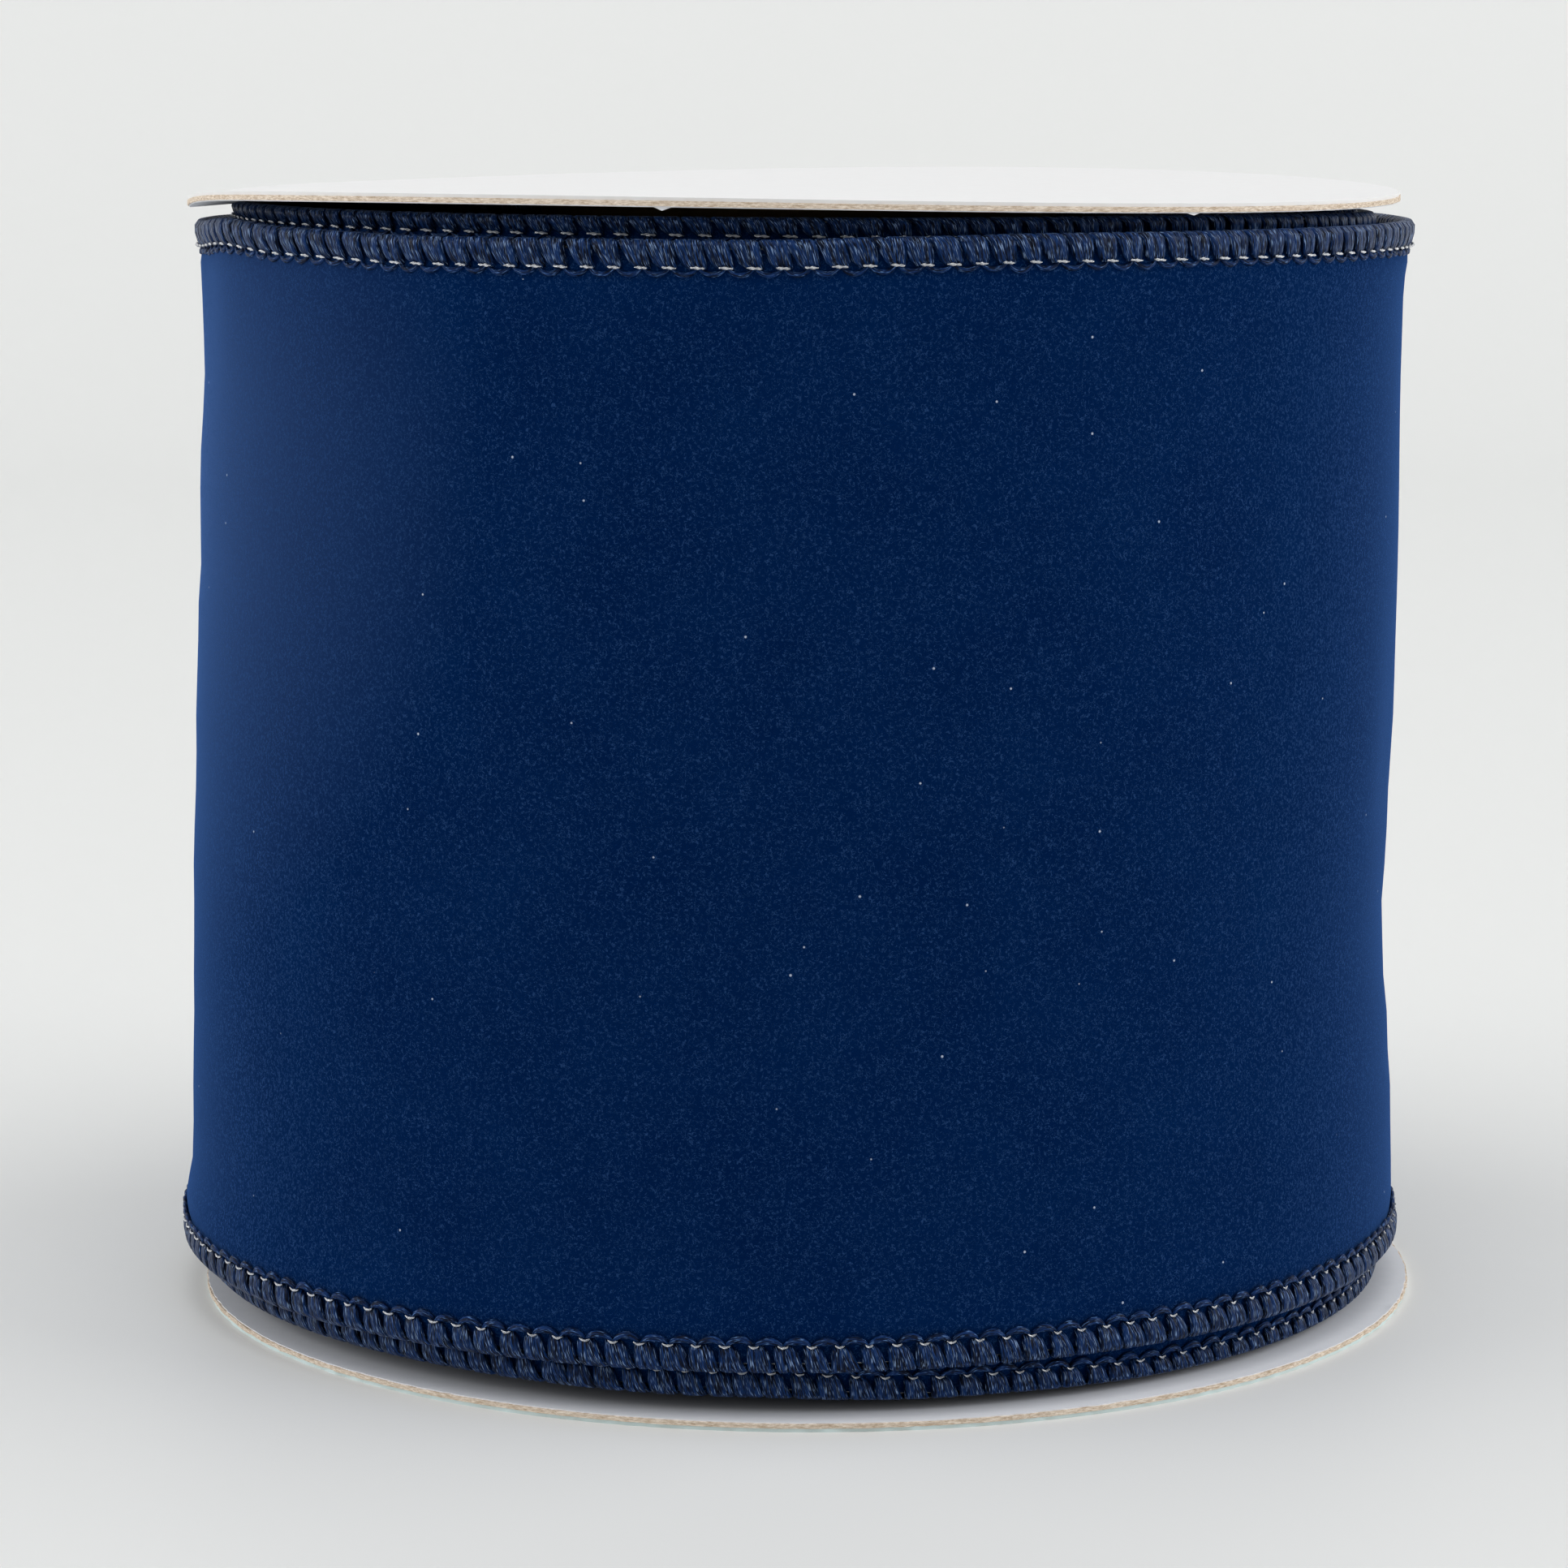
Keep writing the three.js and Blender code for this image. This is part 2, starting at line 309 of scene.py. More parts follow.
def velvetMaterial():
    # cut-pile velvet, dyed navy: the pile swallows light seen end on, with a pale blue sheen aslant
    material, tree, shader = newMaterial("navyCutPileVelvet", {
        "Roughness": 0.95,
        "Specular IOR Level": 0.0,
        "Sheen Weight": 0.48,
        "Sheen Roughness": 0.34,
        "Sheen Tint": toLinear("#6ea3fa"),
    })
    place = addNode(tree, "TexCoord").outputs["Object"]
    # curled fibres about 0.1 mm wide, along the lines where the noise passes through a half
    curl = addNode(
        tree, "TexNoise", {"Scale": 3300.0, "Detail": 0.3, "Distortion": 1.0}, {"Vector": place}
    )
    offLine = addNode(tree, "Math", {"operation": "SUBTRACT", 1: 0.5}, {0: curl.outputs["Fac"]})
    awayFromLine = addNode(tree, "Math", {"operation": "ABSOLUTE"}, {0: offLine.outputs[0]})
    fibre = addNode(
        tree, "MapRange", {"From Min": 0.0, "From Max": 0.065, "To Min": 1.0, "To Max": 0.0},
        {"Value": awayFromLine.outputs[0]},
    )
    # only short lengths of each fibre lie on top
    broken = addNode(tree, "TexNoise", {"Scale": 3000.0, "Detail": 0.0}, {"Vector": place})
    shown = addNode(
        tree, "MapRange", {"From Min": 0.38, "From Max": 0.52}, {"Value": broken.outputs["Fac"]}
    )
    strokes = addNode(
        tree, "Math", {"operation": "MULTIPLY"},
        {0: fibre.outputs["Result"], 1: shown.outputs["Result"]},
    )
    # patches about 10 mm across where the pile leans another way
    brushed = addNode(
        tree, "TexNoise", {"Scale": 90.0, "Detail": 3.0, "Roughness": 0.55}, {"Vector": place}
    )
    plain = addNode(
        tree, "Mix", {"data_type": "RGBA", 6: toLinear("#011840"), 7: toLinear("#02214c")},
        {0: brushed.outputs["Fac"]},
    )
    # painted sheen: the pile is paler round one place near the top, and fades out 50 mm from it
    fromSheenPatch = addNode(
        tree, "VectorMath", {"operation": "DISTANCE", 1: [value * mm for value in sheenPatchAt]},
        {0: place},
    )
    paintedSheen = addNode(
        tree, "MapRange", {"From Min": 6 * mm, "From Max": 50 * mm, "To Min": 1.0, "To Max": 0.0},
        {"Value": fromSheenPatch.outputs["Value"]},
    )
    pile = addNode(
        tree, "Mix", {"data_type": "RGBA", 7: toLinear("#2a3f68")},
        {0: paintedSheen.outputs["Result"], 6: plain.outputs[2]},
    )
    withFibres = addNode(
        tree, "Mix", {"data_type": "RGBA", 7: toLinear("#223f6c")},
        {0: strokes.outputs[0], 6: pile.outputs[2]},
    )
    # a few specks of lint, a fifth of a millimetre across, in cells of 4 mm
    lint = addNode(
        tree, "TexVoronoi", {"feature": "F1", "Scale": 250.0, "Randomness": 1.0}, {"Vector": place}
    )
    speck = addNode(
        tree, "MapRange", {"From Min": 0.02, "From Max": 0.035, "To Min": 0.9, "To Max": 0.0},
        {"Value": lint.outputs["Distance"]},
    )
    colour = addNode(
        tree, "Mix", {"data_type": "RGBA", 7: toLinear("#b7c3d8")},
        {0: speck.outputs["Result"], 6: withFibres.outputs[2]},
    )
    bump = addNode(
        tree, "Bump", {"Strength": 0.35, "Distance": 0.1 * mm}, {"Height": strokes.outputs[0]}
    )
    tree.links.new(colour.outputs[2], shader.inputs["Base Color"])
    tree.links.new(bump.outputs["Normal"], shader.inputs["Normal"])
    return material


def threadMaterial(name, low, high, glintColour, shine):
    # bulked rayon thread, plied loosely: a flat bundle of fine filaments, with painted glints where
    # they would catch the light
    material, tree, shader = newMaterial(name, {
        "Roughness": shine,
        "Specular IOR Level": 0.09,
        "Sheen Weight": 0.04,
        "Sheen Roughness": 0.4,
        "Sheen Tint": toLinear("#6a9aef"),
    })
    place = addNode(tree, "UVMap", {"uv_map": "threadMap"})
    # filaments are drawn 0.17 mm wide, coarser than they are, so that they show
    along = addNode(tree, "Mapping", {"Scale": (6.0, 0.7, 1.0)}, {"Vector": place.outputs["UV"]})
    strands = addNode(
        tree, "TexNoise", {"Scale": 1.0, "Detail": 2.0, "Roughness": 0.6, "Distortion": 0.6},
        {"Vector": along.outputs["Vector"]},
    )
    # painted highlight: where this noise is high, bright glints are mixed into the base colour
    sparkle = addNode(
        tree, "TexNoise", {"Scale": 2.2, "Detail": 1.0, "Roughness": 0.5},
        {"Vector": along.outputs["Vector"]},
    )
    lit = addNode(
        tree, "MapRange", {"From Min": 0.42, "From Max": 0.6}, {"Value": strands.outputs["Fac"]}
    )
    spark = addNode(
        tree, "MapRange", {"From Min": 0.58, "From Max": 0.74, "To Max": 0.75},
        {"Value": sparkle.outputs["Fac"]},
    )
    base = addNode(
        tree, "Mix", {"data_type": "RGBA", 6: toLinear(low), 7: toLinear(high)},
        {0: lit.outputs["Result"]},
    )
    colour = addNode(
        tree, "Mix", {"data_type": "RGBA", 7: toLinear(glintColour)},
        {0: spark.outputs["Result"], 6: base.outputs[2]},
    )
    bump = addNode(
        tree, "Bump", {"Strength": 1.0, "Distance": 0.15 * mm}, {"Height": strands.outputs["Fac"]}
    )
    tree.links.new(colour.outputs[2], shader.inputs["Base Color"])
    tree.links.new(bump.outputs["Normal"], shader.inputs["Normal"])
    return material


def silverMaterial():
    # a flat strip of metallised polyester twisted round a core: bright and darker bands in turn,
    # painted highlight and shade of the twist
    material, tree, shader = newMaterial(
        "silverMetallisedThread", {"Metallic": 1.0, "Roughness": 0.3}
    )
    place = addNode(tree, "UVMap", {"uv_map": "threadMap"})
    twist = addNode(
        tree, "Mapping", {"Scale": (3.0, 2.2, 1.0), "Rotation": (0.0, 0.0, 0.7)},
        {"Vector": place.outputs["UV"]},
    )
    turns = addNode(
        tree, "TexWave", {"Scale": 0.6, "Distortion": 0.8, "Detail": 1.0},
        {"Vector": twist.outputs["Vector"]},
    )
    # painted highlight: the metal's colour runs from grey to white along the twist
    colour = addNode(
        tree, "Mix", {"data_type": "RGBA", 6: toLinear("#a9aeb6"), 7: toLinear("#ffffff")},
        {0: turns.outputs["Fac"]},
    )
    bump = addNode(
        tree, "Bump", {"Strength": 0.5, "Distance": 0.08 * mm}, {"Height": turns.outputs["Fac"]}
    )
    tree.links.new(colour.outputs[2], shader.inputs["Base Color"])
    tree.links.new(bump.outputs["Normal"], shader.inputs["Normal"])
    return material


def paperMaterial(name, colour, shade, roughness):
    # liner paper, calendered: a faint mottle of fibres, about 1.4 mm from dark to dark
    material, tree, shader = newMaterial(name, {"Roughness": roughness, "Specular IOR Level": 0.2})
    place = addNode(tree, "TexCoord")
    mottle = addNode(
        tree, "TexNoise", {"Scale": 700.0, "Detail": 4.0, "Roughness": 0.6},
        {"Vector": place.outputs["Object"]},
    )
    shaded = addNode(
        tree, "Mix", {"data_type": "RGBA", 6: toLinear(shade), 7: toLinear(colour)},
        {0: mottle.outputs["Fac"]},
    )
    bump = addNode(
        tree, "Bump", {"Strength": 0.12, "Distance": 0.05 * mm}, {"Height": mottle.outputs["Fac"]}
    )
    tree.links.new(shaded.outputs[2], shader.inputs["Base Color"])
    tree.links.new(bump.outputs["Normal"], shader.inputs["Normal"])
    return material


def chipboardMaterial():
    # recycled chipboard, die cut: layers of grey and brown fibre, up to 0.7 mm, show at the rim
    material, tree, shader = newMaterial(
        "brownChipboardDieCut", {"Roughness": 0.95, "Specular IOR Level": 0.2}
    )
    place = addNode(tree, "TexCoord")
    layers = addNode(
        tree, "Mapping", {"Scale": (1.0, 1.0, 5.0)}, {"Vector": place.outputs["Object"]}
    )
    fibres = addNode(
        tree, "TexNoise", {"Scale": 1500.0, "Detail": 5.0, "Roughness": 0.7},
        {"Vector": layers.outputs["Vector"]},
    )
    spread = addNode(
        tree, "MapRange", {"From Min": 0.35, "From Max": 0.65}, {"Value": fibres.outputs["Fac"]}
    )
    colour = addNode(
        tree, "Mix", {"data_type": "RGBA", 6: toLinear("#b8a188"), 7: toLinear("#f6e9d9")},
        {0: spread.outputs["Result"]},
    )
    bump = addNode(
        tree, "Bump", {"Strength": 0.6, "Distance": 0.1 * mm}, {"Height": fibres.outputs["Fac"]}
    )
    tree.links.new(colour.outputs[2], shader.inputs["Base Color"])
    tree.links.new(bump.outputs["Normal"], shader.inputs["Normal"])
    return material


def kraftMaterial():
    # kraft core board, spiral wound: brown, matt, with fibre clouds about a millimetre across
    material, tree, shader = newMaterial(
        "kraftSpiralWoundBoard", {"Roughness": 0.9, "Specular IOR Level": 0.25}
    )
    place = addNode(tree, "TexCoord")
    fibres = addNode(
        tree, "TexNoise", {"Scale": 900.0, "Detail": 4.0, "Roughness": 0.65},
        {"Vector": place.outputs["Object"]},
    )
    colour = addNode(
        tree, "Mix", {"data_type": "RGBA", 6: toLinear("#8f7048"), 7: toLinear("#bd9c6e")},
        {0: fibres.outputs["Fac"]},
    )
    bump = addNode(
        tree, "Bump", {"Strength": 0.3, "Distance": 0.1 * mm}, {"Height": fibres.outputs["Fac"]}
    )
    tree.links.new(colour.outputs[2], shader.inputs["Base Color"])
    tree.links.new(bump.outputs["Normal"], shader.inputs["Normal"])
    return material


def cloudedMaterial(name, settings, light, dark, grain):
    # a hidden part's finish, with faint lighter and darker clouds, grain of them to the metre
    material, tree, shader = newMaterial(name, settings)
    place = addNode(tree, "TexCoord")
    cloud = addNode(
        tree, "TexNoise", {"Scale": grain, "Detail": 2.0}, {"Vector": place.outputs["Object"]}
    )
    colour = addNode(
        tree, "Mix", {"data_type": "RGBA", 6: toLinear(dark), 7: toLinear(light)},
        {0: cloud.outputs["Fac"]},
    )
    tree.links.new(colour.outputs[2], shader.inputs["Base Color"])
    return material


velvet = velvetMaterial()
edgeThread = threadMaterial("navyRayonOverlockThread", "#01071a", "#103061", "#a0bfec", 0.34)
loopThread = threadMaterial("navyRayonLooperThread", "#030d24", "#103062", "#6f96cf", 0.4)
silver = silverMaterial()
whitePaper = paperMaterial("whiteCoatedPaper", "#eaeaea", "#e4e4e5", 0.68)
innerPaper = paperMaterial("whiteUncoatedPaper", "#eaecf1", "#e0e3e9", 0.8)
palePaper = paperMaterial("paleBlueGreenPaper", "#dcebeb", "#cfe1e1", 0.6)
chipboard = chipboardMaterial()
kraft = kraftMaterial()
# drawn steel, dried hot melt and creped paper: all three stay inside the roll
wireSteel = cloudedMaterial(
    "drawnFloristWire", {"Metallic": 1.0, "Roughness": 0.35}, "#a9abae", "#8b8d90", 900.0
)
driedGlue = cloudedMaterial(
    "driedHotMeltGlue", {"Roughness": 0.35, "Subsurface Weight": 0.1}, "#efe6cb", "#dfd2ae", 300.0
)
paperTape = cloudedMaterial("creamPaperTape", {"Roughness": 0.6}, "#e0d7b8", "#cfc5a4", 800.0)
print("materials made")

velvetSettings = {
    "fineStep": 2.4,  # between places along the outer turns
    "coarseStep": 7.0,  # and along the hidden ones
    "tailStep": 1.2,
    "edgeDepths": [0.95, 1.6, 2.2, 2.8, 3.4, 4.2, 5.5, 7.6],  # rows of points in from each edge
    "middleRows": 24,
    "face": 0.3,  # the pile's face lies this far inside the thread's
    "sunk": 0.45,  # and this much further in where the stitches squeeze it
    "back": 1.55,  # the ribbon's back, from the thread's outer face
    "backAtEdge": 1.2,
    "squeezeEnds": (1.6, 4.4),  # depths between which the squeeze dies out
}


def velvetRows():
    # heights of the rows of points: close together at both edges, evenly apart between them
    near = halfWidth - np.array(velvetSettings["edgeDepths"])
    between = np.linspace(near[-1], -near[-1], velvetSettings["middleRows"])
    return np.concatenate([near[:-1], between, -near[:-1][::-1]])


def velvetSheet(name, arcs):
    # two faces that follow the winding, nearer to each other where the stitches squeeze the edge
    heights = velvetRows()
    depth = halfWidth - np.abs(heights)
    free = smooth(depth, *velvetSettings["squeezeEnds"])
    face = -velvetSettings["face"] - velvetSettings["sunk"] * (1 - free)
    thicker = velvetSettings["back"] - velvetSettings["backAtEdge"]
    back = -velvetSettings["backAtEdge"] - thicker * free
    outer = ribbonPoint(arcs[:, None], heights[None], face[None])
    inner = ribbonPoint(arcs[:, None], heights[None], back[None])
    part = (np.stack([outer, inner]), sheetFaces(len(arcs), len(heights)), None)
    return makePiece(name, [part], velvet, sharp=50)


rollArcs = arcSteps(
    0.0, winding["rollLength"], winding["outerArc"],
    velvetSettings["fineStep"], velvetSettings["coarseStep"],
)
tailArcs = arcSteps(-winding["tailLength"], 0.0, 0.0, velvetSettings["tailStep"], None)
velvetRoll = velvetSheet("velvet_ribbon_roll", rollArcs)
velvetTail = velvetSheet("velvet_ribbon_tail", tailArcs)
print("velvet wound")

stitch = {
    "pitch": 2.45,
    "rootDepth": 2.5,  # from the ribbon's edge in to the silver thread
    "halfThickness": 0.25,
    "rootHalfWidth": 0.45,
    "crestHalfWidth": 0.8,
    "fanPower": 0.32,  # how early the bundles fan out from their roots
    "rootSpread": 0.27,  # each half of a bundle starts this far to its side of the stitch
    "crestCentres": ((-1.6, -0.52), (-1.28, -0.24)),  # and reaches these places along the edge
    "wholeWidth": 1.75,  # bundles of the hidden turns are one piece, this much wider
    "jitter": 0.1,  # how much bundles differ in width and place
    "rootThickness": 0.5,  # a bundle's share of its thickness at its root
    "dashHalfLength": (0.6, 0.44),  # upper edge, lower edge
    "dashHalfWidth": (0.17, 0.13),
    "dashBow": (0.0, 0.16),
    "dashSunk": (0.0, 0.16),  # how far one end of a silver stitch dips
    "dashJitter": (0.08, 0.04),  # how much silver stitches differ in length and place
    "dashSlant": 0.08,
    "loopRise": (0.52, 0.56),  # how far the looper thread arches into the velvet
    "loopFoot": (0.1, 0.06),
    "loopOut": (-0.36, -0.14),
    "loopStart": 0.1,  # its feet lie this much further from the ribbon's edge than the silver
    "loopDip": 0.22,  # and this much deeper than its crest
    "loopFootHalfWidth": 0.13,
    "loopHalfWidth": (0.26, 0.36),
    "loopHalfThickness": 0.19,
    "loopJitter": 0.05,
    "dashHalfThickness": 0.1,
    "uvSpread": 40.0,  # each thread's filaments start somewhere else within this length
}
# a bundle's way from its root on the outer face over the edge to the back: share of it, depth, out
bundlePath = np.array([
    (0.0, 2.6, -0.52), (0.16, 2.1, -0.3), (0.38, 1.35, -0.16), (0.62, 0.68, -0.24),
    (0.84, 0.3, -0.56), (1.0, 0.24, -0.95), (1.08, 0.5, -1.4), (1.12, 1.4, -1.55),
])
hiddenPath = bundlePath[[0, 2, 4, 5, 7]]
# the wire's place in the bundles, and how far it stands past the ribbon's free end
wireRoute = {"depth": 0.88, "out": -1.12, "radius": 0.18, "past": 0.8}


def stitchPlaces(first, last):
    # one place for each stitch, a pitch apart
    return np.arange(first + stitch["pitch"] / 2, last - stitch["pitch"] * 0.4, stitch["pitch"])


def ringsOnRibbon(arcs, side, along, depth, out, uv):
    # rings of points for many arcs at once: along the ribbon, in from its edge, out from its face
    points = ribbonPoint(arcs[:, None, None] - along, side * (halfWidth - depth), out)
    count, steps, around = along.shape
    return points, tubeFaces(count, steps, around), np.stack(np.broadcast_arrays(*uv), -1)


def bundles(arcs, side, path, around, start, end, broad):
    # flat tubes: ring = centre + width * cos(f) along the ribbon + thickness * sin(f) across it
    share, depth, out = (column[None, :, None] for column in path.T)
    run = np.gradient(path[:, 1:], axis=0)
    run /= np.linalg.norm(run, axis=1)[:, None]
    angle = 2 * math.pi * np.arange(around) / around
    loose = random.normal(0, stitch["jitter"], (3, len(arcs), 1, 1))
    fan = np.clip(share, 0, 1) ** stitch["fanPower"]
    width = stitch["rootHalfWidth"] + (stitch["crestHalfWidth"] - stitch["rootHalfWidth"]) * fan
    width = broad * width * (1 + loose[0])
    centre = start + (end - start) * share**0.75 + loose[1] * share + loose[2] * (1 - share)
    flat = np.where(share == 0, stitch["rootThickness"], 1)
    thick = stitch["halfThickness"] * np.sin(angle) * flat
    across = width * np.cos(angle)
    shift = random.uniform(0, stitch["uvSpread"], (len(arcs), 1, 1))
    length = np.arange(len(path))[None, :, None] * 0.5  # about half a millimetre from ring to ring
    return ringsOnRibbon(
        arcs, side, side * (centre + across), depth - thick * run[None, :, None, 1],
        out + thick * run[None, :, None, 0], (across + shift, length + shift),
    )


def seenAndHidden(arcs):
    # stitches of the outer turns, which show, and those inside the roll
    return arcs[arcs <= winding["outerArc"]], arcs[arcs > winding["outerArc"]]


def edgeThreads(arcs, side):
    # two bundles for each stitch where it shows, one broad bundle inside the roll
    seen, hidden = seenAndHidden(arcs)
    first, second = stitch["crestCentres"][0 if side > 0 else 1]
    spread = stitch["rootSpread"]
    parts = [
        bundles(seen, side, bundlePath, 6, -spread, first, 1),
        bundles(seen, side, bundlePath, 6, spread, second, 1),
    ]
    if len(hidden):
        between = (first + second) / 2
        parts.append(bundles(hidden, side, hiddenPath, 4, 0, between, stitch["wholeWidth"]))
    return parts


def arches(arcs, side, steps, around):
    # the looper thread from one stitch to the next: depth = root + rise * sin(pi t)^0.75
    which = 0 if side > 0 else 1
    t = np.linspace(0, 1, steps)[None]
    loose = random.normal(0, stitch["loopJitter"], (2, len(arcs), 1))
    foot = stitch["loopFoot"][which]
    along = foot + (stitch["pitch"] - 2 * foot) * t + 0 * loose[0]
    hump = np.clip(np.sin(math.pi * t), 0, 1)
    rise = stitch["loopRise"][which] + loose[0]
    depth = stitch["rootDepth"] + stitch["loopStart"] + rise * hump**0.75
    out = stitch["loopOut"][which] - stitch["loopDip"] * (1 - hump) + 0.5 * loose[1]
    run = np.stack([np.gradient(along, axis=1), np.gradient(depth, axis=1)], -1)
    run /= np.linalg.norm(run, axis=2)[..., None]
    angle = 2 * math.pi * np.arange(around) / around
    narrow = stitch["loopFootHalfWidth"]
    width = narrow + (stitch["loopHalfWidth"][which] - narrow) * hump
    across = width[..., None] * np.cos(angle)
    thick = stitch["loopHalfThickness"] * np.sin(angle)
    shift = random.uniform(0, stitch["uvSpread"], (len(arcs), 1, 1))
    return ringsOnRibbon(
        arcs + stitch["pitch"], side, along[..., None] - run[..., 1:] * across,
        depth[..., None] + run[..., :1] * across, out[..., None] + thick,
        (across + shift, along[..., None] + shift),
    )


def looperThread(arcs, side):
    # arches with many rings where they show, and with few inside the roll
    seen, hidden = seenAndHidden(arcs)
    parts = [arches(seen, side, 8, 6)]
    if len(hidden):
        parts.append(arches(hidden, side, 4, 4))
    return parts


def dashes(arcs, side, steps, around):
    # a twisted strip: an ellipse carried along the stitch that makes a full turn, with blunt ends
    t = np.linspace(0, 1, steps)[None, :, None]
    loose = random.normal(0, 1, (3, len(arcs), 1, 1))
    angle = 2 * math.pi * np.arange(around) / around
    turned = math.pi * (2 * t + 0.5 * loose[0])
    blunt = 0.25 + 0.75 * np.sqrt(np.sin(math.pi * np.clip(t, 0.02, 0.98)))
    which = 0 if side > 0 else 1
    p = stitch["dashHalfWidth"][which] * blunt * np.cos(angle)
    q = stitch["dashHalfThickness"] * blunt * np.sin(angle)
    lengthJitter, placeJitter = stitch["dashJitter"]
    halfLength = stitch["dashHalfLength"][which] * (1 + lengthJitter * loose[1])
    along = halfLength * (2 * t - 1) + placeJitter * loose[2]
    bow = stitch["dashBow"][which] * (2 * t - 1) ** 2
    slant = stitch["dashSlant"] * (t - 0.5) * side
    depth = stitch["rootDepth"] + bow + slant + p * np.cos(turned) - q * np.sin(turned)
    sunk = stitch["dashSunk"][which] * smooth(t, 0.35, 0.9)
    out = p * np.sin(turned) + q * np.cos(turned) - sunk
    uv = (np.cos(angle) + loose[2], 1.2 * t + 0 * loose[2])
    return ringsOnRibbon(arcs, side, along + 0 * p, depth, out, uv)


def silverThread(arcs, side):
    # one silver stitch in each pitch, finer where it shows
    seen, hidden = seenAndHidden(arcs)
    parts = [dashes(seen, side, 8, 6)]
    if len(hidden):
        parts.append(dashes(hidden, side, 3, 4))
    return parts


def edgeWire(arcs, side):
    # one round wire along the ribbon, inside the bundles
    angle = 2 * math.pi * np.arange(8) / 8
    depth = wireRoute["depth"] + wireRoute["radius"] * np.cos(angle)
    out = wireRoute["out"] + wireRoute["radius"] * np.sin(angle)
    points = ribbonPoint(arcs[:, None], side * (halfWidth - depth)[None], out[None])
    return [(points, tubeFaces(1, len(arcs), 8), None)]


wireEnd = -winding["tailLength"] - wireRoute["past"]
lengths = {
    "roll": (stitchPlaces(0.0, winding["rollLength"]), rollArcs),
    "tail": (stitchPlaces(-winding["tailLength"], 0.0), np.append(wireEnd, tailArcs)),
}
ribbonPieces = {"roll": [], "tail": []}
for part, (stitches, wireArcs) in lengths.items():
    for edge, side in (("upper", 1), ("lower", -1)):
        # name, node it stands for, finish slot, shape, material
        for name, node, slot, parts, material in (
            ("overlock_thread", "edge_threads", "edge_thread",
             edgeThreads(stitches, side), edgeThread),
            ("looper_thread", None, "edge_thread",
             looperThread(stitches, side), loopThread),
            ("silver_stitches", "silver_thread", "silver_thread",
             silverThread(stitches, side), silver),
            ("florist_wire", "edge_wire", "edge_wire",
             edgeWire(wireArcs, side), wireSteel),
        ):
            piece = makePiece(f"{edge}_{name}_{part}", parts, material)
            ribbonPieces[part].append(piece)
            if node:
                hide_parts(f"{edge}_{node}_{part}")
print("edges stitched")

for part, piece in (("roll", velvetRoll), ("tail", velvetTail)):
    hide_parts(f"velvet_{part}")
for piece in [velvetRoll] + ribbonPieces["roll"]:
    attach(piece, "spool")
# the free end is the first stretch of ribbon past the hinge; it stays off the spool, with its
# placement baked into its points
for piece in [velvetTail] + ribbonPieces["tail"]:
    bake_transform(piece)

flange = {
    "sides": 480,
    "rings": [6, 12, 18, 24, 30, 36, 41, 45, 48.5, 51.5, 54, 56, 57.5, 58.7, 59.5, 60.0],
    "ringGap": 0.2,  # rings nearer than this to the rim are left out
    "saddle": 0.6,  # the top flange is bent like a saddle: high at this azimuth and opposite it
    "saddleAzimuth": 63.0,
    "rimSag": 0.1,
    "tipDroop": 1.0,
    "tipAzimuth": 180.0,
    "tipWidth": 15.0,
    "topShift": (-0.55, -0.2),
    "bottomShift": (0.8, -1.2),
    "topGrowth": -0.9,  # the top flange was cut a little small, the bottom one a little large
    "bottomGrowth": 0.3,
    "rimRoughness": 0.04,
    "rimBand": 0.3,  # only this far in from the rim is it rough
    "paperReach": 0.15,  # the papers stand this far past the board
    "burrReach": 0.1,
    # the outer papers look thicker at the cut rim, where their edges are dragged over the board
    "linerGrowth": {"top": 0.16, "bottom": 0.2},
}
# burrs left by the cutting die: azimuth and drop
burrs = {
    "top": [(-101.0, 0.3), (-53.5, 0.2)],
    "bottom": [(-19.4, -0.2), (-37.8, -0.16), (-50.0, -0.12)],
}


def topWarp(radius, azimuth):
    # height = (saddle * cos(2(a - a0)) - sag) * (r/R)^2, less a droop of (r/R)^5 near one tip
    out = radius / flangeRadius
    apart = (azimuth - math.radians(flange["tipAzimuth"]) + math.pi) % (2 * math.pi) - math.pi
    tip = flange["tipDroop"] * np.exp(-((np.degrees(apart) / flange["tipWidth"]) ** 2))
    saddle = flange["saddle"] * np.cos(2 * (azimuth - math.radians(flange["saddleAzimuth"])))
    return (saddle - flange["rimSag"] - tip * out**3) * out**2


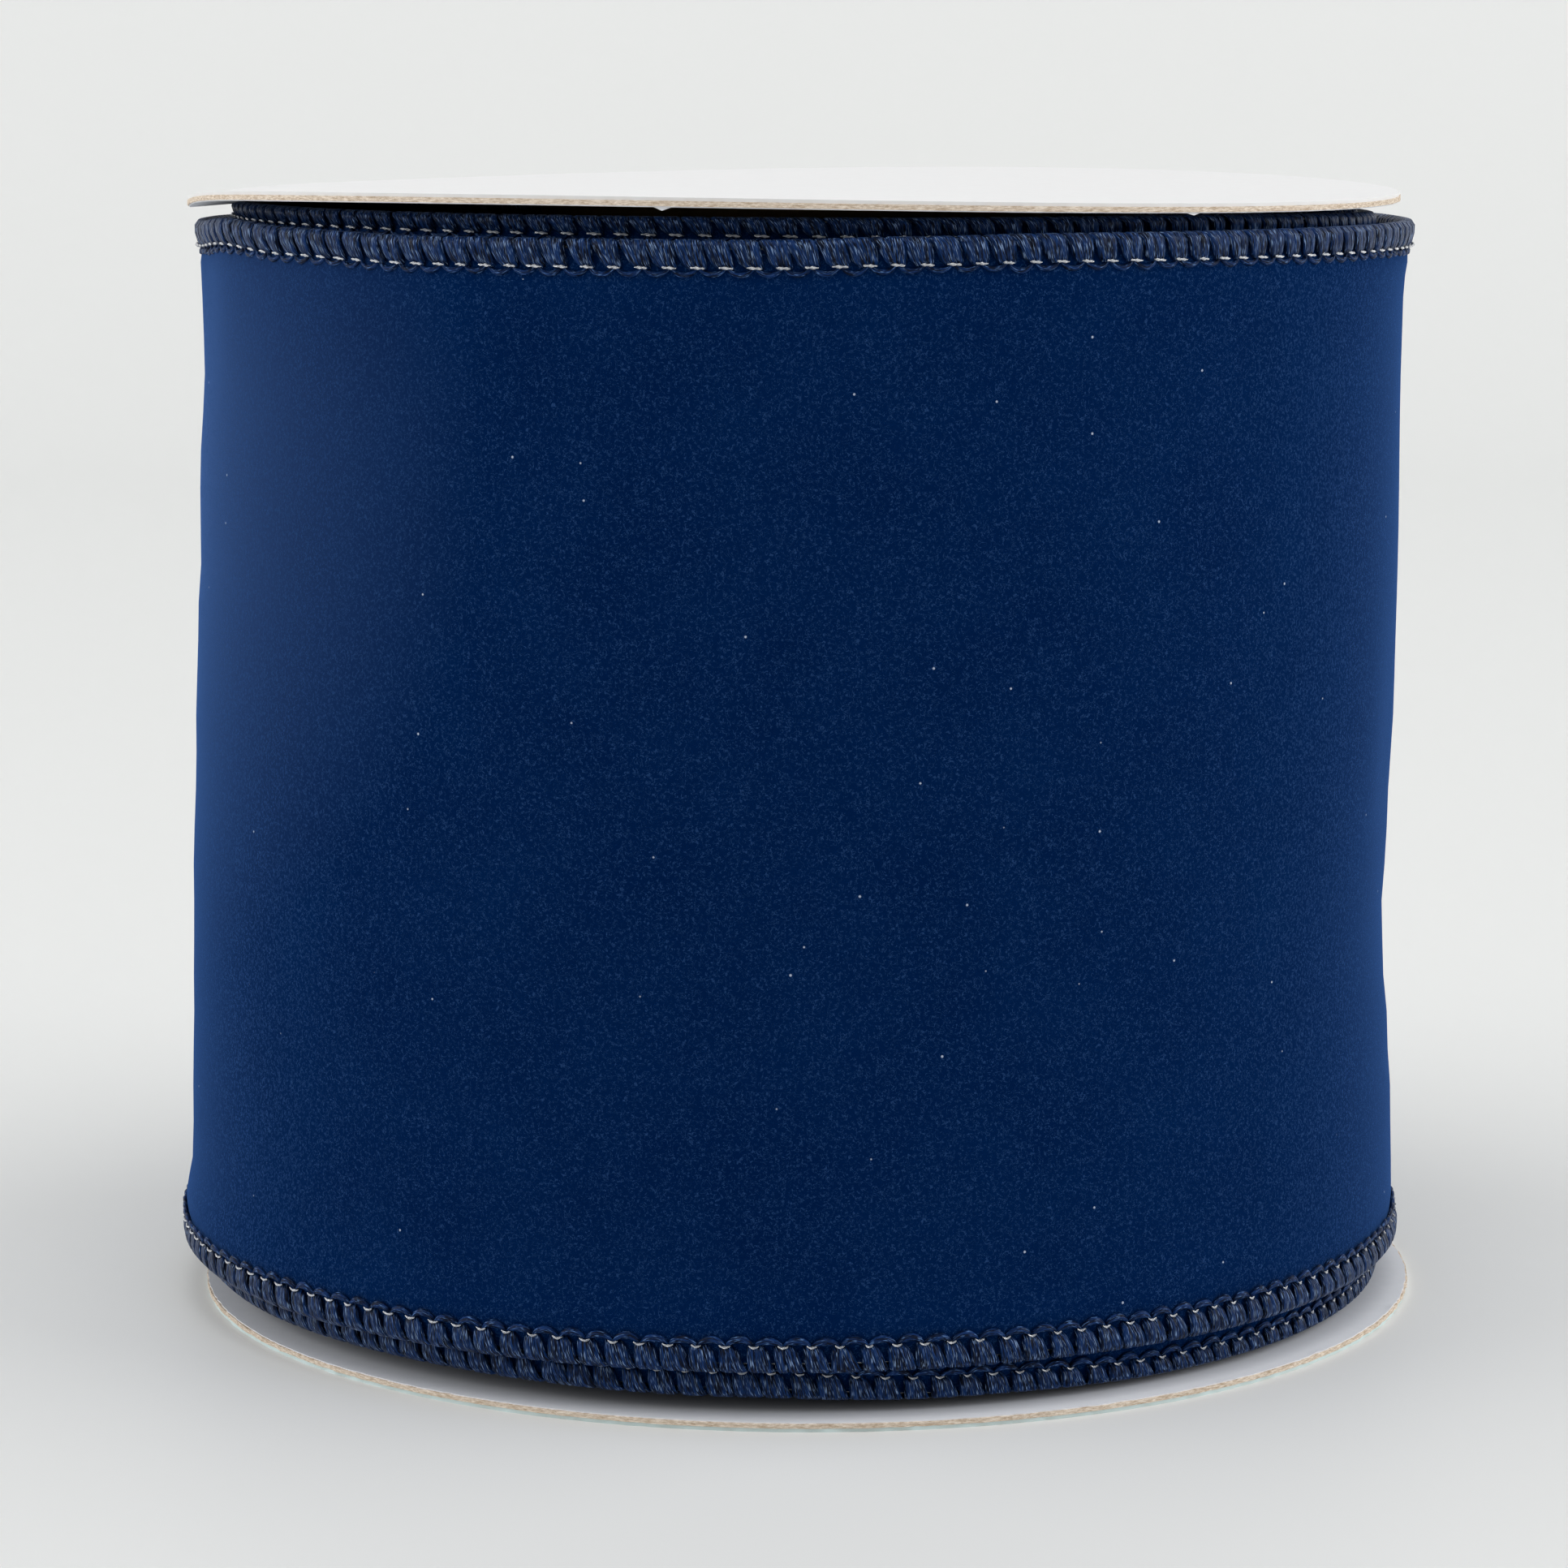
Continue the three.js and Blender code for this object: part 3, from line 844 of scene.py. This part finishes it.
def disc(name, node, material, warp, shift, burrList=(), burrSide=0, reach=0.0, faces=(0, 0)):
    # rings of points round the axis at two heights, lifted by the warp; faces move the two heights,
    # reach is added to the node's own radius, and each burr pulls one point of the rim down and out
    low, high = boxOf(node)
    low[2] += faces[0]
    high[2] += faces[1]
    rim = high[0] + reach
    rings = np.array([r for r in flange["rings"] if r < rim - flange["ringGap"]] + [rim])
    azimuth = np.linspace(0, 2 * math.pi, flange["sides"], endpoint=False)
    r, a = np.meshgrid(rings, azimuth, indexing="ij")
    wobble = random.normal(0, flange["rimRoughness"], len(azimuth))
    r = r + wobble[None] * smooth(r, rim - flange["rimBand"], rim)
    x = r * np.cos(a) + shift[0]
    y = r * np.sin(a) + shift[1]
    lift = warp(r, a) if warp else 0 * r
    top = np.stack([x, y, high[2] + lift], -1)
    bottom = np.stack([x, y, low[2] + lift], -1)
    count, sides = len(rings), flange["sides"]
    burred = bottom if burrSide < 0 else top
    for where, drop in burrList:
        k = round((where % 360) / 360 * sides) % sides
        burred[-1, k, 2] -= drop
        burred[-1, k, 0] += flange["burrReach"] * math.cos(azimuth[k])
        burred[-1, k, 1] += flange["burrReach"] * math.sin(azimuth[k])
    ring = np.arange(sides)
    after = (ring + 1) % sides
    wall = []
    for base, flip in ((0, False), (count * sides, True)):
        for i in range(count - 1):
            near, far = base + i * sides, base + (i + 1) * sides
            quad = np.stack([ring + near, ring + far, after + far, after + near], -1)
            wall.append(quad[:, ::-1] if flip else quad)
    last = (count - 1) * sides
    lower = count * sides
    edge = [ring + last, ring + last + lower, after + last + lower, after + last]
    wall.append(np.stack(edge, -1))
    caps = np.stack([ring, ring[::-1] + lower])
    part = (np.stack([top, bottom]), [np.concatenate(wall), caps], None)
    return makePiece(name, [part], material, sharp=40)


layers = {
    "outer_liner": ("cover_paper", flange["paperReach"]),
    "board": ("chipboard", 0.0),
    "inner_liner": ("lining_paper", flange["paperReach"]),
}
finishes = {
    ("top", "outer_liner"): (whitePaper, "white_paper"),
    ("top", "board"): (chipboard, "chipboard"),
    ("top", "inner_liner"): (innerPaper, "white_paper"),
    ("bottom", "outer_liner"): (palePaper, "pale_liner"),
    ("bottom", "board"): (chipboard, "chipboard"),
    ("bottom", "inner_liner"): (innerPaper, "white_paper"),
}
for level, warp, up in (("top", topWarp, 1), ("bottom", None, -1)):
    # the face between the outer paper and the board moves towards the board
    drag = -up * flange["linerGrowth"][level]
    linerFaces, boardFaces = ((drag, 0), (0, drag))[::up]
    moved = {"outer_liner": linerFaces, "board": boardFaces, "inner_liner": (0, 0)}
    for layer, (word, reach) in layers.items():
        material, slot = finishes[level, layer]
        piece = disc(
            f"{level}_flange_{word}", f"{level}_flange_{layer}", material, warp,
            flange[level + "Shift"], burrs[level] if layer == "inner_liner" else (), -up,
            reach + flange[level + "Growth"], moved[layer],
        )
        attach(piece, "spool")
        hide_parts(f"{level}_flange_{layer}")
print("flanges cut")

# core, glue and tape keep their shapes
for node, material in (
    ("core_outer_ply", kraft),
    ("core_middle_ply", kraft),
    ("core_inner_ply", kraft),
    ("lower_glue_bead", driedGlue),
    ("upper_glue_bead", driedGlue),
    ("start_tape", paperTape),
):
    frame["nodes"][node].data.materials.clear()
    frame["nodes"][node].data.materials.append(material)

studio = {
    "floorHalf": 2.5,  # metres, as are all the sizes here but the camera's place
    "bendAt": 0.9,
    "bendRadius": 0.5,
    "wallHeight": 2.2,
    "paint": "#e6e7e6",
    # place, target, width and height, power in watts
    "lights": {
        "softboxLeft": ((-1.3, -0.03, 0.6), (0, 0, 0.05), (1.8, 0.9), 11.1),
        "softboxRight": ((1.3, -0.03, 0.6), (0, 0, 0.05), (1.8, 0.9), 12.6),
        "softboxAbove": ((0, -0.4, 1.2), (0, -0.1, 0), (1.0, 1.0), 5.7),
        "backdropStrip": ((0, 1.1, 1.3), (0, 1.4, 1.0), (2.0, 0.4), 4.4),
    },
    "airStrength": 0.34,
    "cameraPlace": (-1.52, -480.0, 121.7),
    "cameraTilt": 8.57,
    "lens": 110.8,
}


def sweep():
    # a floor that runs back, bends up through a quarter circle and becomes the wall
    quarter = np.linspace(0, math.pi / 2, 24)
    wallAt = studio["bendAt"] + studio["bendRadius"]
    bendY = studio["bendAt"] + studio["bendRadius"] * np.sin(quarter)
    bendZ = studio["bendRadius"] * (1 - np.cos(quarter))
    y = np.concatenate([[-studio["floorHalf"]], bendY, [wallAt]])
    z = np.concatenate([[0.0], bendZ, [studio["wallHeight"]]])
    x = np.array([-studio["floorHalf"], studio["floorHalf"]])
    points = np.stack([np.repeat(x, len(y)), np.tile(y, 2), np.tile(z, 2)], -1)
    mesh = bpy.data.meshes.new("studio_sweep")
    mesh.from_pydata(points.tolist(), [], gridFaces(2, len(y))[:, ::-1].tolist())
    mesh.polygons.foreach_set("use_smooth", np.ones(len(mesh.polygons), dtype=bool))
    piece = bpy.data.objects.new("studio_sweep", mesh)
    bpy.context.collection.objects.link(piece)
    paint = newMaterial("paintedStudioSweep", {
        "Base Color": toLinear(studio["paint"]),
        "Roughness": 0.55,
        "Specular IOR Level": 0.3,
    })
    mesh.materials.append(paint[0])


def areaLight(name, place, target, size, power):
    # a white rectangle of light at one place, turned towards another
    lamp = bpy.data.lights.new(name, "AREA")
    lamp.shape = "RECTANGLE"
    lamp.size, lamp.size_y = size
    lamp.energy = power
    piece = bpy.data.objects.new(name, lamp)
    piece.location = place
    aim = np.array(target) - np.array(place)
    aim = aim / np.linalg.norm(aim)
    piece.rotation_euler = (math.acos(-aim[2]), 0.0, math.atan2(aim[0], -aim[1]) + math.pi)
    bpy.context.collection.objects.link(piece)


sweep()
for name, settings in studio["lights"].items():
    areaLight(name, *settings)
world = bpy.data.worlds.new("studioAir")
world.use_nodes = True
air = world.node_tree.nodes["Background"]
air.inputs["Color"].default_value = toLinear("#ffffff")
air.inputs["Strength"].default_value = studio["airStrength"]
bpy.context.scene.world = world
bpy.context.scene.view_settings.view_transform = "Standard"

camera = bpy.data.objects.new("camera", bpy.data.cameras.new("camera"))
camera.data.sensor_width = 36.0
camera.data.lens = studio["lens"]
camera.data.clip_start = 0.01
camera.location = [value * mm for value in studio["cameraPlace"]]
camera.rotation_euler = (math.radians(90 - studio["cameraTilt"]), 0.0, 0.0)
bpy.context.collection.objects.link(camera)
bpy.context.scene.camera = camera
print("studio lit")
